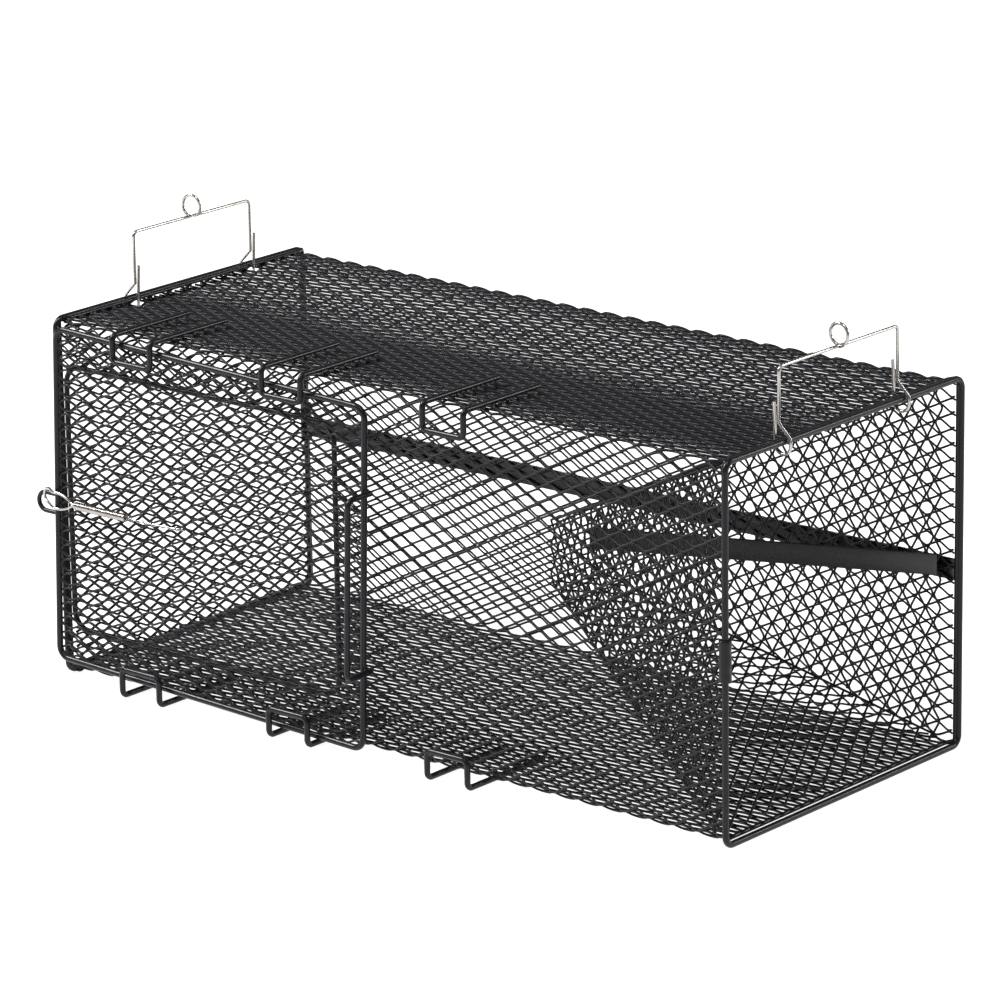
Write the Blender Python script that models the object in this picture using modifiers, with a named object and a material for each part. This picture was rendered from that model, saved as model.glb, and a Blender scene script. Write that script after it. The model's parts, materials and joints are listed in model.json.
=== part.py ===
"""Live catch trap: a folded expanded-mesh box on two end frames, with an entry funnel at the right end,
a sliding wire door on the front wall, a sprung latch and two rope bails.

Metres, +Z up. X runs along the trap towards the funnel end, Y runs from the door side to the back.
The origin is on the ground, under the middle of the whole trap's outline.
"""

import math

import bmesh
import bpy
from mathutils import Matrix, Vector

MM = 0.001
TRAP = "live_catch_trap"

# ---- driving sizes, in millimetres; X = 0 is the door's closed edge, Y = 0 the frames' front, Z = 0 the ground ----
LEFT_X = -2.5
RIGHT_X = 461.0
DEPTH = 203.2
HEIGHT = 204.2
GAP = 0.3

FRAME_R = 1.9
FRAME_CORNER = 5.5
EDGE_R = 1.3
SLEEVE_R = 3.3
SLEEVE_Z = (89.0, 111.0)

MESH_T = 1.8
FOLD_INSET = 3.4
NOTCH_HALF = 4.0
NOTCH_DEPTH = 15.0

STRIP_H = 12.0
STRIP_T = 1.2
BACK_SEAM_Z = 98.5
FUNNEL_SEAM_Z = 101.5

MOUTH_X = 276.0
MOUTH_Y = (88.0, 120.5)
MOUTH_Z = (85.0, 119.0)
FUNNEL_X = 450.0
FUNNEL_EDGE = 1.6

OPENING_X = (5.9, 201.0)
OPENING_Z = (28.0, 178.0)
RIM_R = 1.5
RIM_CORNER = 10.0

DOOR_R = 1.75
DOOR_HALF = (111.4, 94.0)
DOOR_CORNER = 6.5
DOOR_CENTRE = (114.7, -5.5, 102.6)
DOOR_TILT = math.radians(1.9)
HANDLE_R = 1.6
HANDLE_REACH = 16.4
HANDLE_Z = (-50.3, 48.2)

GUIDE_R = 1.65
GUIDE_CORNER = 3.2
GUIDE_X = (67.0, 175.0, 286.5)
GUIDE_HALF = 13.75
GUIDE_BACK = 50.0
UPPER_GUIDE_Y = -10.2
UPPER_GUIDE_LOW = 190.0
LOWER_GUIDE_Y = -11.5
LOWER_GUIDE_HIGH = 17.0

CATCH_R = 1.3
CATCH_HALF = 5.3
CATCH_REACH = 17.9
CATCH_Z = 97.6
CATCH_Y = 1.0

LATCH_X = 98.5
LATCH_Y = -8.0
LATCH_Z = 103.4
ANCHOR_R = 0.7
SPRING_R = 2.25
SPRING_X = (19.5, 59.5)
SPRING_Y = -9.7
HOOK_R = 0.8
HOOK_HALF = 4.4

BAIL_R = 0.9
BAIL_HALF = {"left": 46.8, "right": 49.9}
BAIL_RISE = 38.5
BAIL_LEG_IN = 2.6
BAIL_JOG_HEIGHT = 9.5
BAIL_HOOK_R = 4.8
BAIL_HOOK_DROP = 1.6
BAIL_CORNER = 3.0
BAIL_TAIL = ((5.0, 8.5), (5.6, 20.0))
BAIL_PIVOT_Z = 201.8
BAIL_Y = {"left": 107.1, "right": 100.7}
EYE_R = 5.9
EYE_PITCH = 2.3

# ---- places worked out from the sizes ----
FLAT = math.cos(math.pi / 8)
FRAME_AT = FRAME_R * FLAT
EDGE_AT = 2 * FRAME_AT + GAP + EDGE_R
EDGE_SIDE = FRAME_AT + SLEEVE_R
PANEL_LEFT = LEFT_X + EDGE_AT + EDGE_R + GAP
PANEL_RIGHT = RIGHT_X - EDGE_AT - EDGE_R - GAP
FRONT_Y = 1.7
BACK_Y = 197.6
TOP_Z = 201.7
BOTTOM_Z = 4.5
BAIL_PIVOT_IN = (EDGE_AT + EDGE_R) / 2
ORIGIN_X = (RIGHT_X - BAIL_PIVOT_IN + BAIL_HOOK_R + BAIL_R - CATCH_REACH - CATCH_R) / 2
ORIGIN_Y = (DEPTH - FRAME_AT + SLEEVE_R + DOOR_CENTRE[1] - HANDLE_REACH - HANDLE_R) / 2

COLOURS = {
    "vinyl": ((0.018, 0.018, 0.02, 1), 0.38, 0.0),
    "mesh": ((0.022, 0.022, 0.025, 1), 0.42, 0.0),
    "strip": ((0.014, 0.014, 0.016, 1), 0.3, 0.0),
    "steel": ((0.62, 0.6, 0.56, 1), 0.28, 1.0),
}


def place(x, y, z):
    """A point in the cage's millimetres, as a world point in metres."""
    return Vector(((x - ORIGIN_X) * MM, (y - ORIGIN_Y) * MM, z * MM))


def clear_scene():
    for thing in list(bpy.data.objects):
        bpy.data.objects.remove(thing)


def make_material(name):
    colour, roughness, metallic = COLOURS[name]
    material = bpy.data.materials.new(name)
    material.use_nodes = True
    shader = material.node_tree.nodes["Principled BSDF"]
    shader.inputs["Base Color"].default_value = colour
    shader.inputs["Roughness"].default_value = roughness
    shader.inputs["Metallic"].default_value = metallic
    return material


def dress(thing, finish, parent=None):
    """Gives an object its own material, its collection and its parent, without moving it."""
    thing.data.materials.append(make_material(finish))
    bpy.data.collections[TRAP].objects.link(thing)
    if parent is not None:
        thing.parent = parent
        thing.matrix_parent_inverse = parent.matrix_world.inverted()
    return thing


def make_pivot(name, where):
    """An empty on a joint's axis, for the pieces that move with that joint."""
    pivot = bpy.data.objects.new(name, None)
    pivot.empty_display_size = 0.02
    pivot.location = where
    bpy.data.collections[TRAP].objects.link(pivot)
    bpy.context.view_layer.update()
    return pivot


def rounded(corners, radius, closed=False, steps=4):
    """A path through the corner points, with an arc of the given radius at each bend."""
    corners = [Vector(c) for c in corners]
    count = len(corners)
    path = []
    for i, corner in enumerate(corners):
        if not closed and i in (0, count - 1):
            path.append(corner)
            continue
        before = (corners[i - 1] - corner).normalized()
        after = (corners[(i + 1) % count] - corner).normalized()
        half_angle = before.angle(after) / 2
        reach = radius / math.tan(half_angle)
        centre = corner + (before + after).normalized() * (radius / math.sin(half_angle))
        start = (corner + before * reach - centre).normalized()
        end = (corner + after * reach - centre).normalized()
        for k in range(steps + 1):
            path.append(centre + radius * start.slerp(end, k / steps))
    return path


def wire(name, points, radius, finish, closed=False, origin=None, parent=None):
    """A bent wire through points in millimetres; eight sides, with one flat facing straight down."""
    origin = place(0, 0, 0) if origin is None else origin
    curve = bpy.data.curves.new(name, "CURVE")
    curve.dimensions = "3D"
    curve.bevel_depth = radius * MM
    curve.bevel_resolution = 2
    curve.use_fill_caps = not closed
    spline = curve.splines.new("POLY")
    spline.points.add(len(points) - 1)
    spline.use_cyclic_u = closed
    for point, at in zip(spline.points, points):
        point.co = (*(place(*at) - origin), 1)
        point.tilt = math.pi / 8
    thing = bpy.data.objects.new(name, curve)
    thing.location = origin
    bpy.context.view_layer.update()
    return dress(thing, finish, parent)


def plate(name, outline, frame, thickness, finish, holes=(), parent=None):
    """A flat sheet from an outline in millimetres, drawn in the plane of frame's first two axes."""
    curve = bpy.data.curves.new(name, "CURVE")
    curve.dimensions = "2D"
    curve.fill_mode = "BOTH"
    curve.extrude = thickness * MM / 2
    for loop in (outline, *holes):
        spline = curve.splines.new("POLY")
        spline.points.add(len(loop) - 1)
        spline.use_cyclic_u = True
        for point, (u, v) in zip(spline.points, loop):
            point.co = (u * MM, v * MM, 0, 1)
    thing = bpy.data.objects.new(name, curve)
    thing.matrix_world = frame
    return dress(thing, finish, parent)


def plane_at(corner, u_axis, v_axis):
    """The frame of a flat sheet: its corner in millimetres and its two in-plane directions."""
    u = Vector(u_axis).normalized()
    n = u.cross(Vector(v_axis)).normalized()
    v = n.cross(u)
    frame = Matrix((u, v, n)).transposed().to_4x4()
    frame.translation = place(*corner)
    return frame


def ring_corners(x, low, high):
    """The four corners of a ring that stands across the trap at x."""
    return [(x, low[0], low[1]), (x, high[0], low[1]), (x, high[0], high[1]), (x, low[0], high[1])]


def notched(length, start, end, depth, places):
    """A rectangle from start to end with notches cut into both short ends at the given places."""
    outline = [(start, 0)]
    for y in places["left"]:
        outline += [(start, y - NOTCH_HALF), (start + depth, y - NOTCH_HALF)]
        outline += [(start + depth, y + NOTCH_HALF), (start, y + NOTCH_HALF)]
    outline += [(start, length), (end, length)]
    for y in reversed(places["right"]):
        outline += [(end, y + NOTCH_HALF), (end - depth, y + NOTCH_HALF)]
        outline += [(end - depth, y - NOTCH_HALF), (end, y - NOTCH_HALF)]
    outline.append((end, 0))
    return outline


def bail_feet(side):
    return (BAIL_Y[side] - BAIL_HALF[side], BAIL_Y[side] + BAIL_HALF[side])


def make_end_frames():
    for side, mirror in (("left", False), ("right", True)):
        x = RIGHT_X - FRAME_AT if mirror else LEFT_X + FRAME_AT
        low = (FRAME_AT, FRAME_AT)
        high = (DEPTH - FRAME_AT, HEIGHT - FRAME_AT)
        ring = rounded(ring_corners(x, low, high), FRAME_CORNER, closed=True)
        wire(f"{side}_end_frame", ring, FRAME_R, "vinyl", closed=True)
        x = RIGHT_X - EDGE_AT if mirror else LEFT_X + EDGE_AT
        low = (EDGE_SIDE, FRAME_AT)
        high = (DEPTH - EDGE_SIDE, HEIGHT - FRAME_AT)
        ring = rounded(ring_corners(x, low, high), FRAME_CORNER, closed=True)
        wire(f"{side}_mesh_edge_wire", ring, EDGE_R, "vinyl", closed=True)


def make_sleeve(side, x, y):
    """The crimped sleeve that closes an end frame's ring, as a short tube round the post."""
    bore = FRAME_R + GAP
    radius = (SLEEVE_R + bore) / 2
    mesh = bpy.data.meshes.new(f"{side}_frame_sleeve")
    profile = bmesh.new()
    wall = SLEEVE_R - bore
    corners = [(radius + wall / 2, SLEEVE_Z[1]), (radius + wall / 2, SLEEVE_Z[0])]
    corners += [(radius - wall / 2, SLEEVE_Z[0]), (radius - wall / 2, SLEEVE_Z[1])]
    ends = [profile.verts.new((r * MM, 0, z * MM)) for r, z in corners]
    for i in range(4):
        profile.edges.new((ends[i], ends[(i + 1) % 4]))
    profile.to_mesh(mesh)
    profile.free()
    thing = bpy.data.objects.new(mesh.name, mesh)
    thing.location = place(x, y, 0)
    dress(thing, "vinyl")
    turn = thing.modifiers.new("turn", "SCREW")
    turn.axis = "Z"
    turn.steps = turn.render_steps = 16
    turn.use_merge_vertices = True
    turn.merge_threshold = 0.00001


def make_body_panels():
    """The folded mesh wrap, one sheet for each wall, and the flat wall that closes the left end."""
    start, end = PANEL_LEFT, PANEL_RIGHT
    feet = {"left": bail_feet("left"), "right": bail_feet("right")}
    shifted = {side: [y - FOLD_INSET for y in feet[side]] for side in feet}
    wide = BACK_Y - 1.0 - FOLD_INSET
    outline = notched(wide, start, end, NOTCH_DEPTH, shifted)
    plate("top_mesh", outline, plane_at((0, FOLD_INSET, TOP_Z), (1, 0, 0), (0, 1, 0)), MESH_T, "mesh")
    outline = [(start, 0), (end, 0), (end, wide), (start, wide)]
    plate("bottom_mesh", outline, plane_at((0, FOLD_INSET, BOTTOM_Z), (1, 0, 0), (0, 1, 0)), MESH_T, "mesh")

    low = BOTTOM_Z + MESH_T / 2 + GAP
    high = TOP_Z - MESH_T / 2 - GAP
    right = OPENING_X[1] + RIM_R + GAP
    sill = OPENING_Z[0] - RIM_R - GAP
    head = OPENING_Z[1] + RIM_R + GAP
    outline = [(start, low), (end, low), (end, high), (start, high), (start, head)]
    corner = RIM_CORNER + RIM_R
    bend = [(right - 4 * corner, head), (right, head), (right, sill), (right - 4 * corner, sill)]
    outline += [tuple(p[:2]) for p in rounded([(u, v, 0) for u, v in bend], corner)]
    outline.append((start, sill))
    upright = plane_at((0, FRONT_Y, 0), (1, 0, 0), (0, 0, 1))
    plate("front_mesh", outline, upright, MESH_T, "mesh")

    behind = plane_at((0, BACK_Y, 0), (1, 0, 0), (0, 0, 1))
    for name, z0, z1 in (
        ("back_upper_mesh", BACK_SEAM_Z + GAP / 2, high),
        ("back_lower_mesh", low, BACK_SEAM_Z - GAP / 2),
    ):
        plate(name, [(start, z0), (end, z0), (end, z1), (start, z1)], behind, MESH_T, "mesh")
    z0 = BACK_SEAM_Z - STRIP_H / 2
    z1 = BACK_SEAM_Z + STRIP_H / 2
    strip_y = BACK_Y + MESH_T / 2 + GAP + STRIP_T / 2
    outline = [(start, z0), (end, z0), (end, z1), (start, z1)]
    strip = plane_at((0, strip_y, 0), (1, 0, 0), (0, 0, 1))
    plate("back_seam_strip", outline, strip, STRIP_T, "strip")

    low = FRAME_AT + EDGE_R + GAP
    side = EDGE_SIDE + EDGE_R + GAP
    top = HEIGHT - low
    notch = BAIL_PIVOT_Z - BAIL_HOOK_R - BAIL_HOOK_DROP - BAIL_R - 2 * GAP
    corners = [(side, low, 0), (DEPTH - side, low, 0), (DEPTH - side, top, 0), (side, top, 0)]
    outline = [tuple(p[:2]) for p in rounded(corners, FRAME_CORNER - EDGE_R - GAP, closed=True)]
    notches = []
    for y in reversed(bail_feet("left")):
        notches += [(y + NOTCH_HALF, top), (y + NOTCH_HALF, notch)]
        notches += [(y - NOTCH_HALF, notch), (y - NOTCH_HALF, top)]
    top_right = 3 * len(outline) // 4
    outline[top_right:top_right] = notches
    across = plane_at((LEFT_X + EDGE_AT, 0, 0), (0, 1, 0), (0, 0, 1))
    plate("left_end_mesh", outline, across, MESH_T, "mesh")


def make_opening_rim():
    """The wire bound round the edge of the door opening."""
    x0, x1 = OPENING_X
    z0, z1 = OPENING_Z
    corners = [(x0, FRONT_Y, z0), (x1, FRONT_Y, z0), (x1, FRONT_Y, z1), (x0, FRONT_Y, z1)]
    wire("door_opening_rim", rounded(corners, RIM_CORNER, closed=True), RIM_R, "vinyl", closed=True)


def make_funnel():
    """Four sloping mesh walls from the open right end to the small inner mouth; the back one is in two."""
    x1 = FUNNEL_X
    y0, y1 = FOLD_INSET + 2.2, BACK_Y - 3.2
    z0, z1 = BOTTOM_Z + 2.2, TOP_Z - 3.2
    outer = {(0, 0): (x1, y0, z0), (1, 0): (x1, y1, z0), (1, 1): (x1, y1, z1), (0, 1): (x1, y0, z1)}
    inner = {(i, j): (MOUTH_X, MOUTH_Y[i], MOUTH_Z[j]) for i in (0, 1) for j in (0, 1)}
    walls = {
        "funnel_bottom_mesh": ((0, 0), (1, 0)),
        "funnel_top_mesh": ((1, 1), (0, 1)),
        "funnel_front_mesh": ((0, 1), (0, 0)),
        "funnel_back_mesh": ((1, 0), (1, 1)),
    }
    for name, (a, b) in walls.items():
        corners = [Vector(outer[a]), Vector(outer[b]), Vector(inner[b]), Vector(inner[a])]
        frame = plane_at(corners[0], corners[1] - corners[0], corners[3] - corners[0])
        flat = frame.inverted()
        points = [flat @ place(*c) / MM for c in corners]
        (u0, v0), (u1, v1), (u2, v2), (u3, v3) = [(p.x, p.y) for p in points]
        outline = [(u0 + FUNNEL_EDGE, v0), (u1 - FUNNEL_EDGE, v1), (u2 - FUNNEL_EDGE, v2), (u3 + FUNNEL_EDGE, v3)]
        if name != "funnel_back_mesh":
            plate(name, outline, frame, MESH_T, "mesh")
            continue
        # The back wall's two halves meet under the seam strip.
        out_u = flat @ place(x1, y1, FUNNEL_SEAM_Z) / MM
        in_u = flat @ place(MOUTH_X, MOUTH_Y[1], FUNNEL_SEAM_Z) / MM
        half = GAP / 2
        lower = [outline[0], (out_u.x - half, v0), (in_u.x - half, v3), outline[3]]
        upper = [(out_u.x + half, v0), outline[1], outline[2], (in_u.x + half, v3)]
        plate("funnel_back_lower_mesh", lower, frame, MESH_T, "mesh")
        plate("funnel_back_upper_mesh", upper, frame, MESH_T, "mesh")
        lift = frame.col[2].to_3d() * (MESH_T / 2 + GAP + STRIP_T / 2) * MM
        strip_frame = frame.copy()
        strip_frame.translation += lift
        mid0, mid1, wide = out_u.x, in_u.x, STRIP_H / 2
        strip = [(mid0 - wide, v0), (mid0 + wide, v0), (mid1 + wide, v3), (mid1 - wide, v3)]
        plate("funnel_seam_strip", strip, strip_frame, STRIP_T, "strip")


def make_guides():
    """The three pairs of wire loops that hold the door's top and bottom bars."""
    top = TOP_Z + MESH_T / 2 + GAP + GUIDE_R
    floor = GUIDE_R * FLAT
    for name, x in zip(("left", "middle", "right"), GUIDE_X):
        for level, y, z_run, z_end in (
            ("upper", UPPER_GUIDE_Y, top, UPPER_GUIDE_LOW),
            ("lower", LOWER_GUIDE_Y, floor, LOWER_GUIDE_HIGH),
        ):
            near, far = x - GUIDE_HALF, x + GUIDE_HALF
            corners = [(near, GUIDE_BACK, z_run), (near, y, z_run), (near, y, z_end)]
            corners += [(far, y, z_end), (far, y, z_run), (far, GUIDE_BACK, z_run)]
            wire(f"{level}_guide_{name}", rounded(corners, GUIDE_CORNER), GUIDE_R, "vinyl")


def make_catch_loop():
    """The coated loop on the left frame's front post that the latch hooks on."""
    turn_x = -CATCH_REACH + CATCH_HALF
    path = [(LEFT_X - GAP, CATCH_Y, CATCH_Z + CATCH_HALF)]
    for k in range(9):
        angle = math.pi / 2 + math.pi * k / 8
        z = CATCH_Z + CATCH_HALF * math.sin(angle)
        path.append((turn_x + CATCH_HALF * math.cos(angle), CATCH_Y, z))
    path.append((LEFT_X - GAP, CATCH_Y, CATCH_Z - CATCH_HALF))
    wire("catch_loop", path, CATCH_R, "vinyl")


def door_point(u, y, w):
    """A point of the door, from its centre along its own tilted axes, in the cage's millimetres."""
    cx, cy, cz = DOOR_CENTRE
    x = cx + u * math.cos(DOOR_TILT) + w * math.sin(DOOR_TILT)
    z = cz - u * math.sin(DOOR_TILT) + w * math.cos(DOOR_TILT)
    return (x, cy + y, z)


def make_door():
    door = make_pivot("door_pivot", place(*DOOR_CENTRE))
    hu, hw = DOOR_HALF
    corners = [door_point(u, 0, w) for u, w in ((-hu, -hw), (hu, -hw), (hu, hw), (-hu, hw))]
    ring = rounded(corners, DOOR_CORNER, closed=True)
    centre = place(*DOOR_CENTRE)
    wire("door_ring", ring, DOOR_R, "vinyl", closed=True, origin=centre, parent=door)

    iu, iw = hu - DOOR_R - GAP, hw - DOOR_R - GAP
    bend = DOOR_CORNER - DOOR_R
    outline = rounded([(-iu, -iw, 0), (iu, -iw, 0), (iu, iw, 0), (-iu, iw, 0)], bend, closed=True)
    frame = plane_at(DOOR_CENTRE, (math.cos(DOOR_TILT), 0, -math.sin(DOOR_TILT)), (0, 0, 1))
    plate("door_mesh", [tuple(p[:2]) for p in outline], frame, MESH_T, "mesh", parent=door)

    beside = hu + DOOR_R + HANDLE_R + GAP
    low, high = HANDLE_Z
    corners = [(beside, DOOR_R, low), (beside, -HANDLE_REACH, low)]
    corners += [(beside, -HANDLE_REACH, high), (beside, DOOR_R, high)]
    path = rounded([door_point(*c) for c in corners], 4.0)
    wire("door_handle", path, HANDLE_R, "vinyl", origin=centre, parent=door)


def make_latch():
    """The wire through the door's mesh, the extension spring on it, and the ring that hooks the catch."""
    centre = place(LATCH_X, LATCH_Y, LATCH_Z)
    latch = make_pivot("latch_pivot", centre)
    x0, x1 = SPRING_X
    path = [(x1 + GAP, SPRING_Y, LATCH_Z), (LATCH_X - 22, LATCH_Y - 0.8, LATCH_Z)]
    path += [(LATCH_X - 3, LATCH_Y, LATCH_Z), (LATCH_X, LATCH_Y + 0.6, LATCH_Z)]
    wire("latch_anchor_wire", path, ANCHOR_R, "steel", origin=centre, parent=latch)
    wire("latch_spring", [(x0, SPRING_Y, LATCH_Z), (x1, SPRING_Y, LATCH_Z)], SPRING_R, "steel",
         origin=centre, parent=latch)

    # Plan of the hook ring: it passes over the door's left bar and dips towards the catch loop.
    profile = [(x0 - 2.0, SPRING_Y, 0.9), (14.0, -9.3, 2.8), (8.0, -9.0, HOOK_HALF)]
    profile += [(2.5, -8.7, HOOK_HALF), (-4.0, -5.0, HOOK_HALF), (-8.6, -3.0, 2.9)]
    upper = [(x, y, LATCH_Z + half) for x, y, half in profile]
    tip = [(-9.8, -2.7, LATCH_Z)]
    lower = [(x, y, LATCH_Z - half) for x, y, half in reversed(profile)]
    wire("latch_hook", upper + tip + lower, HOOK_R, "steel", closed=True, origin=centre, parent=latch)


def bail_path(side):
    """The bail's wire from one tail to the other: hook, leg, top bar, eye, top bar, leg, hook."""
    outward = 1 if side == "right" else -1
    pivot_x = RIGHT_X - BAIL_PIVOT_IN if side == "right" else LEFT_X + BAIL_PIVOT_IN
    middle = BAIL_Y[side]

    def at(out, y, up):
        return (pivot_x + outward * out, y, BAIL_PIVOT_Z + up)

    foot = [(-BAIL_TAIL[1][0], BAIL_TAIL[1][1]), (-BAIL_TAIL[0][0], BAIL_TAIL[0][1])]
    for k in range(7):
        angle = math.pi + math.pi * k / 6
        foot.append((BAIL_HOOK_R * math.cos(angle), BAIL_HOOK_R * math.sin(angle) - BAIL_HOOK_DROP))
    foot += [(BAIL_HOOK_R, 2.0), (-BAIL_LEG_IN, BAIL_JOG_HEIGHT)]
    near_y, far_y = bail_feet(side)
    near = [at(out, near_y, up) for out, up in foot]
    far = [at(out, far_y, up) for out, up in reversed(foot)]

    shoulders = [near[-1], at(-BAIL_LEG_IN, near_y, BAIL_RISE), at(-BAIL_LEG_IN, middle - 8, BAIL_RISE)]
    left_bend = [tuple(p) for p in rounded(shoulders, BAIL_CORNER)]
    shoulders = [at(-BAIL_LEG_IN, middle + 8, BAIL_RISE), at(-BAIL_LEG_IN, far_y, BAIL_RISE), far[0]]
    right_bend = [tuple(p) for p in rounded(shoulders, BAIL_CORNER)]
    eye = []
    turns = 14
    for k in range(turns + 1):
        angle = -math.pi / 2 + 2 * math.pi * k / turns
        y = middle - EYE_PITCH / 2 + EYE_PITCH * k / turns
        out = -BAIL_LEG_IN + EYE_R * math.cos(angle)
        eye.append(at(out, y, BAIL_RISE + EYE_R + EYE_R * math.sin(angle)))
    return near[:-1] + left_bend + eye + right_bend + far[1:], place(*at(0, middle, 0))


def make_bails():
    for side in ("left", "right"):
        path, pivot = bail_path(side)
        wire(f"{side}_rope_bail", path, BAIL_R, "steel", origin=pivot)


def main():
    clear_scene()
    bpy.context.scene.collection.children.link(bpy.data.collections.new(TRAP))
    make_end_frames()
    make_sleeve("right", RIGHT_X - FRAME_AT, FRAME_AT)
    make_sleeve("left", LEFT_X + FRAME_AT, DEPTH - FRAME_AT)
    make_body_panels()
    make_opening_rim()
    make_funnel()
    make_guides()
    make_catch_loop()
    make_door()
    make_latch()
    make_bails()


main()
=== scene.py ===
"""Live catch trap: coated expanded mesh on end frames, with a funnel, a sliding door, a latch and two bails.

Places are counted in millimetres: X from the closed door's edge, Y from the frames' front and Z from the
ground. at() turns them into metres.
"""

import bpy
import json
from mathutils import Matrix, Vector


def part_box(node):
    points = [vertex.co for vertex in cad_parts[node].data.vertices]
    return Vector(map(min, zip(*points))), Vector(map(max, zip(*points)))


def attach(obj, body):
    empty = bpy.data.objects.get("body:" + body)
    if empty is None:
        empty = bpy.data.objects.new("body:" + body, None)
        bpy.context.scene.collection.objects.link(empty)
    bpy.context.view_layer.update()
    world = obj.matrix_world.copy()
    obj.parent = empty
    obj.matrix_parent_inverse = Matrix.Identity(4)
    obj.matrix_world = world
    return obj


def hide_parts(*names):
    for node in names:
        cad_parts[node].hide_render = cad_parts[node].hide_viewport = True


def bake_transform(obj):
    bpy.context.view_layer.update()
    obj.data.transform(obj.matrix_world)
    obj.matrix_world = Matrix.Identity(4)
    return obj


bl_info = {
    "name": "Live catch trap",
    "version": (1, 0, 0),
    "blender": (4, 5, 0),
    "location": "View3D > Sidebar > Trap",
    "description": "Builds the trap's coated mesh, its wires, its latch, its bails and the stage",
    "category": "Add Mesh",
}

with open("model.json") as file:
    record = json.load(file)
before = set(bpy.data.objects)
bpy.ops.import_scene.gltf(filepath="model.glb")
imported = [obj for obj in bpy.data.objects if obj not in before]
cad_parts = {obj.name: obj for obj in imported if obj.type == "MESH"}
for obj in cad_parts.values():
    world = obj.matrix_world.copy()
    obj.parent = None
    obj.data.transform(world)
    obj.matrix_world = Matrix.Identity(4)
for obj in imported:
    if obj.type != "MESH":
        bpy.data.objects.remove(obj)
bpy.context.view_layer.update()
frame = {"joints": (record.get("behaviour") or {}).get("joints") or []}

import json
import math

import bmesh
import bpy
from mathutils import Matrix, Vector

MM = 0.001
FULL_TURN = 2 * math.pi
RIGHT_X = 461.0
CORNER = Vector((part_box("right_end_frame")[1][0] - RIGHT_X * MM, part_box("left_end_frame")[0][1], 0))


def at(x, y, z):
    """A point in the cage's millimetres, as a world point in metres."""
    return CORNER + Vector((x, y, z)) * MM


def cad(node):
    """A CAD node's lowest and highest corners, in the cage's millimetres."""
    low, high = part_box(node)
    return (Vector(low) - CORNER) / MM, (Vector(high) - CORNER) / MM


# ---- places that come with the CAD ----
FRAME_LOW, FRAME_HIGH = cad("left_end_frame")
FRAME_R = (FRAME_HIGH.x - FRAME_LOW.x) / 2
RIGHT_POST_X = cad("right_end_frame")[0].x
EDGE_LOW, EDGE_HIGH = cad("left_mesh_edge_wire")
EDGE_R = (EDGE_HIGH.x - EDGE_LOW.x) / 2
EDGE_X = (EDGE_LOW.x + EDGE_HIGH.x) / 2
FRONT_Y = sum(c.y for c in cad("front_mesh")) / 2
BACK_Y = sum(c.y for c in cad("back_upper_mesh")) / 2
TOP_Z = sum(c.z for c in cad("top_mesh")) / 2
BOTTOM_Z = sum(c.z for c in cad("bottom_mesh")) / 2
SEAM_Z = sum(c.z for c in cad("back_seam_strip")) / 2

# ---- sizes in millimetres ----
GAP = 0.3
SHEET_HALF = 0.9

STEPS_PER_DIAMOND = 10
BOND_FLATNESS = 1.2
BOND_REACH = 0.92
STRAND_FULLNESS = 1.08
NOWHERE = -1000.0

FRAME_CORNER = 5.5
EDGE_LEAN = 2.3
EDGE_LEAN_RUN = 6.0
CRIMP_DEPTH = 0.13
CRIMP_HALF = 1.7
FOLD_RADIUS = 3.6
FOLD_INSET = 3.4
EDGE_INSET = 3.2
TOP_SAG = 2.6
LEFT_END_PAST = (1.5, 1.0)

STRIP_PRESS_EVERY = 36.0
STRIP_PRESS_DEPTH = 0.35
STRIP_PRESS_HALF = 2.6

RIM_R = 1.5
RIM_CORNER = 10.0

FUNNEL_OUT_X = 450.0
MOUTH_X = 276.0
MOUTH_Y = (88.0, 120.5)
MOUTH_Z = (85.0, 119.0)
FUNNEL_SEAM_Z = 101.5
FUNNEL_FRONT_Y = 5.6
FUNNEL_LIFT = 2.2
FUNNEL_FOLD_R = 0.7
FUNNEL_STRAND_START = -1.56

DOOR_R = 1.75
DOOR_HALF = (111.4, 94.0)
DOOR_CORNER = 6.5
DOOR_CENTRE = (114.7, -5.5, 102.6)
DOOR_TILT = math.radians(1.9)
HANDLE_R = 1.6
HANDLE_REACH = 16.4
HANDLE_Z = (-50.3, 48.2)

GUIDE_R = 1.65
GUIDE_CORNER = 3.2
GUIDE_X = (67.0, 175.0, 286.5)
GUIDE_HALF = 13.75
GUIDE_BACK = 50.0
GUIDE_END_Z = {"upper": 190.0, "lower": 17.0}

CATCH_R = 1.3
CATCH_HALF = 5.3
CATCH_REACH = 17.9
CATCH_Y = 1.0
CATCH_Z = 97.6

LATCH = (98.5, -8.0, 103.4)
SPRING_Y = -9.7
SPRING_X = (19.5, 59.5)
SPRING_STEPS = 14
TIE_R = 0.42
TWIST_R = 0.36
TWIST_OUT = 0.75
TWIST_TURNS = 11
TWIST_STEPS = 150
TWIST_ENDS = 12
HOOK_R = 0.8
HOOK_HALF = 4.4

BAIL_HALF = {"left": 46.8, "right": 49.9}
BAIL_TAIL = ((-5.6, 20.0), (-5.0, 8.5))
BAIL_HOOK_R = 4.8
BAIL_HOOK_DROP = 1.6
BAIL_NECK_UP = (2.0, 9.5)
BAIL_NOTCH_X = 8.8
BAIL_NOTCH_HALF = 3.2
BAIL_RISE = 38.5
BAIL_LEG_IN = 2.6
BAIL_Y = {"left": 107.1, "right": 100.7}
EYE_R = 5.9
EYE_HALF = 1.15

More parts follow.
